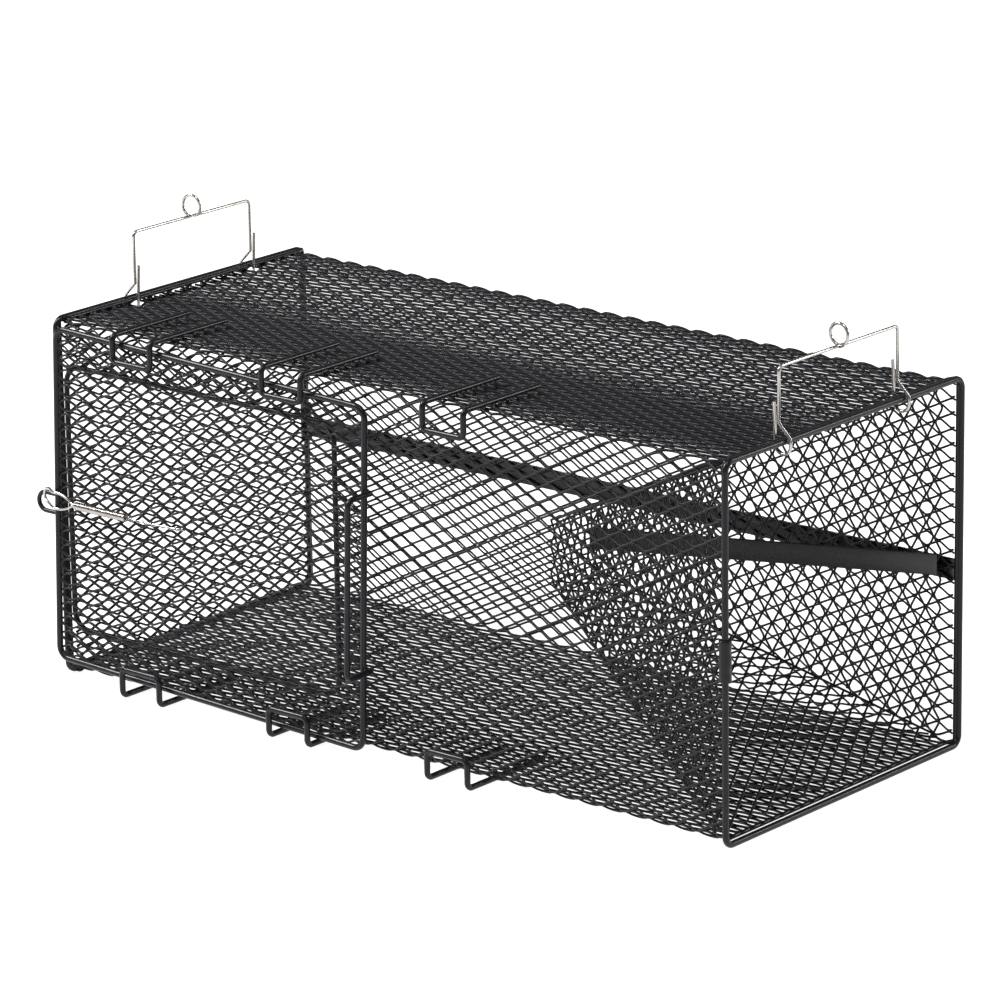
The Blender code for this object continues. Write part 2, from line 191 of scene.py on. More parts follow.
# ---- the stage: each light's name, place, size and share of the key light; the camera ----
LIGHTS = (
    ("overhead", (0.5, -0.9, 2.6), 0.8, 0.3),
    ("front_left", (-1.9, -1.1, 2.1), 1.0, 2.0),
    ("right_back", (1.9, 1.9, 1.2), 0.8, 0.5),
)
CAMERA_PLACE = (2066.31319, -2060.78393, 963.742233)
CAMERA_YAW = 0.704259488
CAMERA_PITCH = -0.289631840
CAMERA_ROLL = -0.0146793730
CAMERA_LENS = 199.334


# ---- what a user may change ----
class TrapMeshSizes(bpy.types.PropertyGroup):
    """Sizes of the expanded mesh."""

    diamond_length: bpy.props.FloatProperty(
        name="Diamond length", description="Long way of one diamond, along the strands",
        default=15.6 * MM, min=0.004, unit="LENGTH", subtype="DISTANCE")
    diamond_width: bpy.props.FloatProperty(
        name="Diamond width", description="Short way of one diamond, across the strands",
        default=8.3 * MM, min=0.002, unit="LENGTH", subtype="DISTANCE")
    strand_width: bpy.props.FloatProperty(
        name="Strand width", description="Width of one coated strand",
        default=1.52 * MM, min=0.0002, unit="LENGTH", subtype="DISTANCE")
    strand_thickness: bpy.props.FloatProperty(
        name="Strand thickness", description="Thickness of the coated sheet",
        default=1.05 * MM, min=0.0002, unit="LENGTH", subtype="DISTANCE")
    strand_lean: bpy.props.FloatProperty(
        name="Strand lean", description="Angle that the raised strands make with the sheet",
        default=math.radians(44), min=0, max=math.radians(80), subtype="ANGLE")


class TrapWireSizes(bpy.types.PropertyGroup):
    """Sizes of the bare wires and of the sweep."""

    bail_diameter: bpy.props.FloatProperty(
        name="Bail wire", description="Diameter of the rope bails' wire",
        default=1.8 * MM, min=0.0005, unit="LENGTH", subtype="DISTANCE")
    spring_wire: bpy.props.FloatProperty(
        name="Spring wire", description="Diameter of the wire that the spring is wound from",
        default=0.8 * MM, min=0.0002, unit="LENGTH", subtype="DISTANCE")
    spring_diameter: bpy.props.FloatProperty(
        name="Spring diameter", description="Outside diameter of the spring's coil",
        default=4.5 * MM, min=0.001, unit="LENGTH", subtype="DISTANCE")
    sides: bpy.props.IntProperty(
        name="Sides", description="Faces round a frame wire", default=18, min=6, max=48)


class TrapFinishes(bpy.types.PropertyGroup):
    """Colours and gloss of the finishes."""

    vinyl: bpy.props.FloatVectorProperty(
        name="Vinyl", description="Colour of the dipped coating",
        default=(0.0078, 0.0076, 0.0098), size=3, min=0, max=1, subtype="COLOR")
    strip: bpy.props.FloatVectorProperty(
        name="Strip", description="Colour of the seam strips",
        default=(0.005, 0.005, 0.006), size=3, min=0, max=1, subtype="COLOR")
    steel: bpy.props.FloatVectorProperty(
        name="Steel", description="Colour of the bare spring steel",
        default=(0.42, 0.4, 0.375), size=3, min=0, max=1, subtype="COLOR")
    vinyl_roughness: bpy.props.FloatProperty(
        name="Vinyl roughness", description="Middle roughness of the coating",
        default=0.3, min=0.02, max=1, subtype="FACTOR")
    steel_roughness: bpy.props.FloatProperty(
        name="Steel roughness", description="Middle roughness of the bare wire",
        default=0.22, min=0.02, max=1, subtype="FACTOR")


class TrapStageSizes(bpy.types.PropertyGroup):
    """The floor and the light round the trap."""

    floor: bpy.props.FloatVectorProperty(
        name="Floor", description="Colour of the floor",
        default=(0.45, 0.45, 0.45), size=3, min=0, max=1, subtype="COLOR")
    sky: bpy.props.FloatProperty(
        name="Room light", description="Strength of the even light from all round",
        default=0.22, min=0, max=5)
    glow: bpy.props.FloatProperty(
        name="Floor glow", description="Light that the floor gives off, which thins the shadows",
        default=0.94, min=0, max=2)
    key: bpy.props.FloatProperty(
        name="Key light", description="Power that each light takes its share of",
        default=62.0, min=0, unit="POWER")


# ---- node trees ----
class Value:
    """A node's output; Python's operators on it add Math nodes."""

    def __init__(self, net, socket):
        self.net = net
        self.socket = socket

    def _with(self, operation, *values):
        return self.net.node("ShaderNodeMath", {"operation": operation}, dict(enumerate(values)))

    def __add__(self, other):
        return self._with("ADD", self, other)

    def __radd__(self, other):
        return self._with("ADD", other, self)

    def __sub__(self, other):
        return self._with("SUBTRACT", self, other)

    def __rsub__(self, other):
        return self._with("SUBTRACT", other, self)

    def __mul__(self, other):
        return self._with("MULTIPLY", self, other)

    def __rmul__(self, other):
        return self._with("MULTIPLY", other, self)

    def __truediv__(self, other):
        return self._with("DIVIDE", self, other)

    def __lt__(self, other):
        return self._with("LESS_THAN", self, other)

    def __gt__(self, other):
        return self._with("GREATER_THAN", self, other)

    def cosine(self):
        return self._with("COSINE", self)

    def sine(self):
        return self._with("SINE", self)

    def arcsine(self):
        return self._with("ARCSINE", self)

    def at_least(self, other):
        return self._with("MAXIMUM", self, other)

    def at_most(self, other):
        return self._with("MINIMUM", self, other)


class Net:
    """Adds nodes to one tree."""

    def __init__(self, tree):
        self.tree = tree

    def node(self, kind, settings=None, sockets=None, output=0):
        """Adds a node: its settings first, then its sockets' values or links, by name or number."""
        made = self.tree.nodes.new(kind)
        for key, value in (settings or {}).items():
            setattr(made, key, value)
        for key, value in (sockets or {}).items():
            if isinstance(value, Value):
                self.tree.links.new(value.socket, made.inputs[key])
            else:
                made.inputs[key].default_value = value
        return Value(self, made.outputs[output]) if len(made.outputs) else made

    def split(self, vector):
        """A vector's three parts."""
        first = self.node("ShaderNodeSeparateXYZ", None, {0: vector})
        return [Value(self, s) for s in first.socket.node.outputs]

    def join(self, x, y, z):
        return self.node("ShaderNodeCombineXYZ", None, {0: x, 1: y, 2: z})

    def vector(self, operation, *values):
        return self.node("ShaderNodeVectorMath", {"operation": operation}, dict(enumerate(values)))


def start_tree(name, inputs):
    """A geometry tree with named inputs; returns its Net and the inputs as Values."""
    tree = bpy.data.node_groups.new(name, "GeometryNodeTree")
    tree.interface.new_socket("Geometry", in_out="OUTPUT", socket_type="NodeSocketGeometry")
    tree.interface.new_socket("Geometry", in_out="INPUT", socket_type="NodeSocketGeometry")
    for label, kind in inputs.items():
        tree.interface.new_socket(label, in_out="INPUT", socket_type=f"NodeSocket{kind}")
    net = Net(tree)
    entry = tree.nodes.new("NodeGroupInput")
    return net, {s.name: Value(net, s) for s in entry.outputs if s.name}


def end_tree(net, geometry, material):
    """Ends a tree in Realize Instances and Set Material."""
    real = net.node("GeometryNodeRealizeInstances", None, {0: geometry})
    done = net.node("GeometryNodeSetMaterial", None, {"Geometry": real, "Material": material})
    exit_node = net.tree.nodes.new("NodeGroupOutput")
    net.tree.links.new(done.socket, exit_node.inputs[0])
    return net.tree


def expanded_sheet_tree():
    """Rows of zigzag strands that touch at their bonds, folded along a section if one is given."""
    net, given = start_tree("Expanded sheet", {
        "Points": "Int", "Rows": "Int", "First row": "Int",
        "Start": "Float", "Diamond length": "Float", "Diamond width": "Float",
        "Strand width": "Float", "Strand thickness": "Float", "Strand lean": "Float",
        "Low edge": "Float", "Low slope": "Float", "High edge": "Float", "High slope": "Float",
        "Cut to": "Float", "Cut from row height": "Float", "Cut to row height": "Float",
        "Notch to": "Float", "Notch half": "Float", "First notch": "Float", "Second notch": "Float",
        "Folded": "Bool", "Section": "Object", "Material": "Material",
    })
    long_way = given["Diamond length"]
    row_step = given["Diamond width"] / 2
    step = long_way / STEPS_PER_DIAMOND
    row_line = net.node("GeometryNodeMeshLine", {"mode": "OFFSET"}, {
        "Count": given["Points"],
        "Start Location": net.join(given["Start"], 0.0, 0.0),
        "Offset": net.join(step, 0.0, 0.0)})
    places = net.node("GeometryNodeMeshLine", {"mode": "OFFSET"}, {
        "Count": given["Rows"],
        "Start Location": net.join(0.0, given["First row"] * row_step, 0.0),
        "Offset": net.join(0.0, row_step, 0.0)})
    rows = net.node("GeometryNodeInstanceOnPoints", None, {"Points": places, "Instance": row_line})
    lines = net.node("GeometryNodeRealizeInstances", None, {0: rows})

    x, y, _ = net.split(net.node("GeometryNodeInputPosition"))
    beyond = x < given["Low edge"] + given["Low slope"] * y
    beyond = beyond + (x > given["High edge"] + given["High slope"] * y)
    window = (x < given["Cut to"]) * (y > given["Cut from row height"]) * (y < given["Cut to row height"])
    notches = 0.0
    for middle in ("First notch", "Second notch"):
        above = y > given[middle] - given["Notch half"]
        notches = above * (y < given[middle] + given["Notch half"]) + notches
    kept = net.node("GeometryNodeDeleteGeometry", {"domain": "POINT"}, {
        "Geometry": lines, "Selection": beyond + window + (x < given["Notch to"]) * notches})

    phase = x * FULL_TURN / long_way + y / row_step * math.pi
    zigzag = (phase.cosine().arcsine() * (2 / math.pi) * BOND_FLATNESS).at_most(1.0).at_least(-1.0)
    half = given["Strand width"] / 2
    sway = row_step / 2 - half * given["Strand lean"].cosine() * BOND_REACH
    offset = net.join(0.0, sway * zigzag, half * given["Strand lean"].sine() * BOND_REACH * zigzag)
    waved = net.node("GeometryNodeSetPosition", None, {"Geometry": kept, "Offset": offset})

    path = net.node("GeometryNodeMeshToCurve", None, {0: waved})
    path = net.node("GeometryNodeSetCurveNormal", {"mode": "Z_UP"}, {0: path})
    path = net.node("GeometryNodeSetCurveTilt", None, {"Curve": path, "Tilt": 0.0 - given["Strand lean"]})
    ring = net.node("GeometryNodeCurvePrimitiveCircle", None, {"Resolution": 6, "Radius": 1.0})
    ring = net.node("GeometryNodeTransform", None, {
        "Geometry": ring,
        "Scale": net.join(half, given["Strand thickness"] / 2 * STRAND_FULLNESS, 1.0)})
    strands = net.node("GeometryNodeCurveToMesh", None, {
        "Curve": path, "Profile Curve": ring, "Fill Caps": True})

    section = net.node("GeometryNodeObjectInfo", {"transform_space": "ORIGINAL"}, {
        "Object": given["Section"]}, output="Geometry")
    x, y, z = net.split(net.node("GeometryNodeInputPosition"))
    sample = net.node("GeometryNodeSampleCurve", {"mode": "LENGTH", "use_all_curves": True}, {
        "Curves": section, "Length": y}, output="Position")
    tangent = Value(net, sample.socket.node.outputs["Tangent"])
    outward = net.vector("NORMALIZE", net.vector("CROSS_PRODUCT", tangent, (1.0, 0.0, 0.0)))
    lift = net.node("ShaderNodeVectorMath", {"operation": "SCALE"}, {0: outward, "Scale": z})
    folded_at = net.vector("ADD", net.vector("ADD", net.join(x, 0.0, 0.0), sample), lift)
    folded = net.node("GeometryNodeSetPosition", None, {"Geometry": strands, "Position": folded_at})
    chosen = net.node("GeometryNodeSwitch", {"input_type": "GEOMETRY"}, {
        "Switch": given["Folded"], "False": strands, "True": folded})
    smooth = net.node("GeometryNodeSetShadeSmooth", None, {0: chosen})
    return end_tree(net, smooth, given["Material"])


def bent_wire_tree():
    """A round wire along the edges of a path."""
    net, given = start_tree("Bent wire", {"Radius": "Float", "Sides": "Int", "Material": "Material"})
    path = net.node("GeometryNodeMeshToCurve", None, {0: given["Geometry"]})
    ring = net.node("GeometryNodeCurvePrimitiveCircle", None, {
        "Resolution": given["Sides"], "Radius": given["Radius"]})
    tube = net.node("GeometryNodeCurveToMesh", None, {
        "Curve": path, "Profile Curve": ring, "Fill Caps": True})
    smooth = net.node("GeometryNodeSetShadeSmooth", None, {0: tube})
    return end_tree(net, smooth, given["Material"])


TREES = {}


def tree_named(name, maker):
    """The tree of that name, made the first time that it is asked for."""
    if name not in TREES:
        TREES[name] = maker()
    return TREES[name]


def add_object(name, data):
    """A new object in the scene."""
    made = bpy.data.objects.new(name, data)
    bpy.context.scene.collection.objects.link(made)
    return made


def grown(name, tree, values, base=None):
    """A piece whose mesh is what the tree makes of the base mesh with these input values."""
    mesh = base or bpy.data.meshes.new(f"{name}_base")
    holder = add_object(f"{name}_holder", mesh)
    modifier = holder.modifiers.new("build", "NODES")
    modifier.node_group = tree
    for item in tree.interface.items_tree:
        if item.in_out == "INPUT" and item.name in values:
            modifier[item.identifier] = values[item.name]
    holder.update_tag()
    shown = holder.evaluated_get(bpy.context.evaluated_depsgraph_get())
    made = bpy.data.meshes.new_from_object(shown)
    made.name = name
    holder.modifiers.remove(modifier)
    bpy.data.objects.remove(holder)
    bpy.data.meshes.remove(mesh)
    if not len(made.polygons):
        raise RuntimeError(f"{name}: the tree made no faces")
    return add_object(name, made)


def set_outward(mesh):
    """Turns every face of a mesh of closed shells outwards."""
    work = bmesh.new()
    work.from_mesh(mesh)
    bmesh.ops.recalc_face_normals(work, faces=work.faces)
    work.to_mesh(mesh)
    work.free()


def register_piece(piece, body, slot, *nodes):
    """Joins a piece to its body, and hides the CAD nodes that it stands for. The slot is not used."""
    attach(piece, body)
    if nodes:
        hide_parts(*nodes)
    return piece


# ---- finishes ----
def begin_material(name, constants):
    """A new Principled material and its Net."""
    material = bpy.data.materials.new(name)
    material.use_nodes = True
    shader = material.node_tree.nodes["Principled BSDF"]
    for key, value in constants.items():
        shader.inputs[key].default_value = value
    return material, Net(material.node_tree), shader


def finish_material(net, shader, colour, roughness, height, distance, strength=1.0):
    """Links what varies over the surface to the shader."""
    bump = net.node("ShaderNodeBump", None, {"Height": height, "Distance": distance, "Strength": strength})
    for key, value in (("Base Color", colour), ("Roughness", roughness), ("Normal", bump)):
        net.tree.links.new(value.socket, shader.inputs[key])


def noise(net, coordinates, scale, detail=2.0, roughness=0.5):
    """A soft random pattern."""
    return net.node("ShaderNodeTexNoise", None, {
        "Vector": coordinates, "Scale": scale, "Detail": detail, "Roughness": roughness})


def mixed(net, factor, first, second):
    """One colour over another by a factor."""
    return net.node("ShaderNodeMix", {"data_type": "RGBA"}, {0: factor, 6: first, 7: second}, output=2)


def spread(net, value, low, high):
    """A value turned into 0 below low and 1 above high."""
    return net.node("ShaderNodeMapRange", None, {0: value, 1: low, 2: high})


def shade(colour, factor):
    """A colour made lighter or darker."""
    return (*[min(1.0, c * factor) for c in colour], 1.0)


def vinyl_material(name, settings, gloss):
    """Dipped vinyl: slow runs and thick places, a fine orange peel, dust and lighter rubbed spots."""
    colour = tuple(settings.vinyl)
    material, net, shader = begin_material(name, {
        "Specular IOR Level": 0.25, "IOR": 1.47})
    where = net.node("ShaderNodeTexCoord", output="Object")
    runs = noise(net, where, 90.0, 3.0)
    peel = noise(net, where, 1400.0, 2.0)
    dust = spread(net, noise(net, where, 420.0, 4.0, 0.65), 0.54, 0.78)
    rubbed = spread(net, noise(net, where, 55.0, 5.0, 0.7), 0.6, 0.76)
    base = mixed(net, spread(net, runs, 0.3, 0.7), shade(colour, 0.72), shade(colour, 1.3))
    base = mixed(net, dust * 0.35, base, shade(colour, 3.2))
    base = mixed(net, rubbed * 0.4, base, shade(colour, 2.1))
    rough = runs * 0.16 + (settings.vinyl_roughness * gloss - 0.08) + dust * 0.16 + rubbed * 0.08
    height = runs * 0.7 + peel * 0.12
    finish_material(net, shader, base, rough, height, 0.00025, 0.55)
    return material


def strip_material(settings):
    """Smooth coated strip: glossy, with faint long marks and a few scuffs."""
    colour = tuple(settings.strip)
    material, net, shader = begin_material("strip_coating", {"Specular IOR Level": 0.5, "IOR": 1.5})
    where = net.node("ShaderNodeTexCoord", output="Object")
    long_marks = noise(net, net.vector("MULTIPLY", where, (14.0, 400.0, 400.0)), 1.0, 4.0)
    waves = noise(net, where, 40.0, 2.0)
    scuffs = spread(net, noise(net, where, 240.0, 5.0, 0.7), 0.6, 0.74)
    base = mixed(net, long_marks, shade(colour, 0.8), shade(colour, 1.35))
    base = mixed(net, scuffs * 0.4, base, shade(colour, 3.0))
    rough = long_marks * 0.1 + waves * 0.08 + scuffs * 0.2 + 0.16
    finish_material(net, shader, base, rough, waves * 0.8 + long_marks * 0.1, 0.0003, 0.4)
    return material


def steel_material(settings):
    """Bare drawn wire: bright, with fine drawing marks and a little warm tarnish."""
    colour = tuple(settings.steel)
    material, net, shader = begin_material("spring_steel", {"Metallic": 1.0})
    where = net.node("ShaderNodeTexCoord", output="Object")
    marks = noise(net, where, 1900.0, 2.0)
    tarnish = spread(net, noise(net, where, 130.0, 4.0, 0.6), 0.45, 0.75)
    specks = spread(net, noise(net, where, 700.0, 3.0, 0.7), 0.66, 0.78)
    tarnished = (colour[0] * 0.8, colour[1] * 0.74, colour[2] * 0.66, 1.0)
    base = mixed(net, tarnish * 0.55, shade(colour, 1.12), tarnished)
    base = mixed(net, specks * 0.25, base, (0.12, 0.085, 0.06, 1.0))
    rough = marks * 0.08 + tarnish * 0.1 + specks * 0.15 + (settings.steel_roughness - 0.06)
    finish_material(net, shader, base, rough, marks, 0.00003, 0.3)
    return material


def finish(name):
    """The material of that name, made the first time that it is asked for."""
    if name not in bpy.data.materials:
        settings = bpy.context.scene.trap_finishes
        if name == "wire_vinyl":
            return vinyl_material(name, settings, 1.0)
        if name == "mesh_vinyl":
            return vinyl_material(name, settings, 1.5)
        if name == "strip_coating":
            return strip_material(settings)
        return steel_material(settings)
    return bpy.data.materials[name]


# ---- shapes ----
def rounded(corners, radius, closed=False, steps=8):
    """A path through the corner points, with an arc of the given radius at each bend."""
    corners = [Vector(c) for c in corners]
    count = len(corners)
    path = []
    for i, corner in enumerate(corners):
        if not closed and i in (0, count - 1):
            path.append(corner)
            continue
        before = (corners[i - 1] - corner).normalized()
        after = (corners[(i + 1) % count] - corner).normalized()
        half_angle = before.angle(after) / 2
        reach = radius / math.tan(half_angle)
        centre = corner + (before + after).normalized() * (radius / math.sin(half_angle))
        start = (corner + before * reach - centre).normalized()
        end = (corner + after * reach - centre).normalized()
        path += [centre + radius * start.slerp(end, k / steps) for k in range(steps + 1)]
    return path


def smoothed(points, steps=8):
    """A soft curve through points, as a path."""
    points = [Vector(p) for p in points]
    line = [points[0] * 2 - points[1]] + points + [points[-1] * 2 - points[-2]]
    path = []
    for a, b, c, d in zip(line, line[1:], line[2:], line[3:]):
        for k in range(steps):
            t = k / steps
            path.append(0.5 * ((2 * b) + (c - a) * t + (2 * a - 5 * b + 4 * c - d) * t * t
                               + (3 * b - a - 3 * c + d) * t * t * t))
    return path + [points[-1]]


def path_mesh(paths, closed=False):
    """A mesh of edges along paths given in the cage's millimetres."""
    mesh = bpy.data.meshes.new("path")
    verts, edges = [], []
    for path in paths:
        first = len(verts)
        verts += [at(*p) for p in path]
        edges += [(first + i, first + i + 1) for i in range(len(path) - 1)]
        if closed:
            edges.append((len(verts) - 1, first))
    mesh.from_pydata(verts, edges, [])
    return mesh


def wire(name, paths, radius, material, closed=False, sides=None):
    """Round wires along paths in the cage's millimetres, as one piece."""
    piece = grown(name, tree_named("Bent wire", bent_wire_tree), {
        "Radius": radius * MM,
        "Sides": sides or bpy.context.scene.trap_wires.sides,
        "Material": finish(material),
    }, path_mesh(paths, closed))
    set_outward(piece.data)
    return piece


def joined(name, pieces):
    """Several pieces as one."""
    work = bmesh.new()
    materials = []
    for piece in pieces:
        material = piece.data.materials[0]
        if material not in materials:
            materials.append(material)
        first = len(work.faces)
        work.from_mesh(piece.data)
        work.faces.ensure_lookup_table()
        for face in work.faces[first:]:
            face.material_index = materials.index(material)
    mesh = bpy.data.meshes.new(name)
    work.to_mesh(mesh)
    work.free()
    for material in materials:
        mesh.materials.append(material)
    for piece in pieces:
        used = piece.data
        bpy.data.objects.remove(piece)
        bpy.data.meshes.remove(used)
    return add_object(name, mesh)


def lathe(profile, centre, axis, sides=20):
    """A closed ring turned from a profile of (radius, height) points round an axis, as a mesh."""
    work = bmesh.new()
    turn = Vector((0, 0, 1)).rotation_difference(Vector(axis)).to_matrix().to_4x4()
    turn.translation = at(*centre)
    verts = []
    for k in range(sides):
        angle = FULL_TURN * k / sides
        verts.append([
            work.verts.new(turn @ Vector((r * MM * math.cos(angle), r * MM * math.sin(angle), h * MM)))
            for r, h in profile])
    count = len(profile)
    for k in range(sides):
        a, b = verts[k], verts[(k + 1) % sides]
        for i in range(count):
            j = (i + 1) % count
            work.faces.new((a[i], b[i], b[j], a[j]))
    bmesh.ops.recalc_face_normals(work, faces=work.faces)
    for face in work.faces:
        face.smooth = True
    return work


def piece_from(work, name, material):
    """A piece from a bmesh, which is used up."""
    mesh = bpy.data.meshes.new(name)
    work.to_mesh(mesh)
    work.free()
    mesh.materials.append(finish(material))
    return add_object(name, mesh)


def blob(centre, radii, name="bead", material="wire_vinyl"):
    """A weld bead under its coating: a flattened round lump."""
    work = bmesh.new()
    bmesh.ops.create_icosphere(work, subdivisions=2, radius=1.0)
    matrix = Matrix.Diagonal((*[r * MM for r in radii], 1))
    matrix.translation = at(*centre)
    work.transform(matrix)
    for face in work.faces:
        face.smooth = True
    return piece_from(work, name, material)


def sheet(name, along, rows, first_row=0, place=None, section=None, low=(None, 0.0), high=(None, 0.0),
          cut=(NOWHERE, 0.0, 0.0), notches=(NOWHERE, 0.0, 0.0, 0.0), lean=1):
    """A sheet of expanded mesh, then placed or folded: along = (start, end) of its strands.

    low and high are its slanting sides, cut a window and notches two slots in its low edge.
    """
    sizes = bpy.context.scene.trap_mesh
    step = sizes.diamond_length / STEPS_PER_DIAMOND
    start = along[0] * MM
    points = int((along[1] - along[0]) * MM / step) + 1
    piece = grown(name, tree_named("Expanded sheet", expanded_sheet_tree), {
        "Points": points, "Rows": rows, "First row": first_row, "Start": start,
        "Diamond length": sizes.diamond_length, "Diamond width": sizes.diamond_width,
        "Strand width": sizes.strand_width, "Strand thickness": sizes.strand_thickness,
        "Strand lean": lean * sizes.strand_lean,
        "Low edge": -10.0 if low[0] is None else low[0] * MM, "Low slope": low[1],
        "High edge": 10.0 if high[0] is None else high[0] * MM, "High slope": high[1],
        "Cut to": cut[0] * MM, "Cut from row height": cut[1] * MM, "Cut to row height": cut[2] * MM,
        "Notch to": notches[0] * MM, "Notch half": notches[1] * MM,
        "First notch": notches[2] * MM, "Second notch": notches[3] * MM,
        "Folded": section is not None, "Section": section,
        "Material": finish("mesh_vinyl"),
    })
    if place is not None:
        piece.data.transform(place)
    set_outward(piece.data)
    return piece


def row_step():
    """The height of one row of strands."""
    return bpy.context.scene.trap_mesh.diamond_width / MM / 2


def frame_of(corner, u_axis, v_axis):
    """The matrix of a flat sheet: its corner in millimetres and its two in-plane directions."""
    u = Vector(u_axis).normalized()
    n = u.cross(Vector(v_axis)).normalized()
    matrix = Matrix((u, n.cross(u), n)).transposed().to_4x4()
    matrix.translation = at(*corner)
    return matrix


def section_curve(name, points):
    """A hidden path in the YZ plane that the wrap is folded along."""
    curve = bpy.data.curves.new(name, "CURVE")
    curve.dimensions = "3D"
    spline = curve.splines.new("POLY")
    spline.points.add(len(points) - 1)
    for point, place in zip(spline.points, points):
        point.co = (0, *at(0, place[1], place[2])[1:], 1)
    return add_object(name, curve)


def ring_path(x, low, high, corner):
    """A rounded rectangle in the plane at x."""
    corners = [(x, low[0], low[1]), (x, high[0], low[1]), (x, high[0], high[1]), (x, low[0], high[1])]
    return rounded(corners, corner, closed=True, steps=10)


def edge_path(x, post_x, low, high):
    """A ring whose two bars run at x and whose sides lean out to the end frame's posts at post_x."""
    corners = []
    for z, ends in ((low[1], (low[0], high[0])), (high[1], (high[0], low[0]))):
        step = EDGE_LEAN_RUN if ends[1] > ends[0] else -EDGE_LEAN_RUN
        corners += [(post_x, ends[0], z), (x, ends[0] + step, z)]
        corners += [(x, ends[1] - step, z), (post_x, ends[1], z)]
    return rounded(corners, 1.5, closed=True, steps=6)


# ---- operators ----
class TRAP_OT_end_frames(bpy.types.Operator):
    """Make the two end frames, the rings inside them and their crimped sleeves"""

    bl_idname = "trap.end_frames"
    bl_label = "End frames"

    def execute(self, context):
        for side in ("left", "right"):
            low, high = cad(f"{side}_end_frame")
            x = (low.x + high.x) / 2
            lowest, highest = (low.y + FRAME_R, low.z + FRAME_R), (high.y - FRAME_R, high.z - FRAME_R)
            ring = ring_path(x, lowest, highest, FRAME_CORNER)
            piece = wire(f"{side}_frame_wire", [ring], FRAME_R, "wire_vinyl", closed=True, sides=24)
            register_piece(piece, "cage", "coated_wire", f"{side}_end_frame")
            low, high = cad(f"{side}_mesh_edge_wire")
            x = (low.x + high.x) / 2
            post_x = x + EDGE_LEAN if side == "right" else x - EDGE_LEAN
            highest = (FRAME_HIGH.y - EDGE_INSET, high.z - EDGE_R)
            ring = edge_path(x, post_x, (FOLD_INSET, BOTTOM_Z - 0.8), highest)
            piece = wire(f"{side}_edge_wire", [ring], EDGE_R, "wire_vinyl", closed=True)
            register_piece(piece, "cage", "coated_wire", f"{side}_mesh_edge_wire")
            self.sleeve(side)
        return {"FINISHED"}

    def sleeve(self, side):
        """A sleeve pressed flat in two places, with rolled ends."""
        low, high = cad(f"{side}_frame_sleeve")
        centre = (low + high) / 2
        outer = (high.x - low.x) / 2
        tall = (high.z - low.z) / 2
        inner = FRAME_R - 0.1
        profile = [(inner, -tall), (outer - 0.45, -tall), (outer - 0.12, -tall + 0.15), (outer, -tall + 0.5)]
        steps = 16
        profile += [(outer, -tall + 2 * tall * k / steps) for k in range(1, steps)]
        profile += [(outer, tall - 0.5), (outer - 0.12, tall - 0.15), (outer - 0.45, tall), (inner, tall)]
        work = lathe(profile, centre, (0, 0, 1), 28)
        middle = at(*centre)
        for vert in work.verts:
            local = vert.co - middle
            distance = math.hypot(local.x, local.y)
            if distance < (inner + 0.3) * MM:
                continue
            height = local.z / MM
            press = sum(math.exp(-((height - c) / CRIMP_HALF) ** 2) for c in (-tall * 0.45, tall * 0.45))
            facing = abs(local.x) / distance
            vert.co.x -= local.x * CRIMP_DEPTH * press * facing
        register_piece(piece_from(work, f"{side}_crimped_sleeve", "wire_vinyl"),
                       "cage", "coated_wire", f"{side}_frame_sleeve")


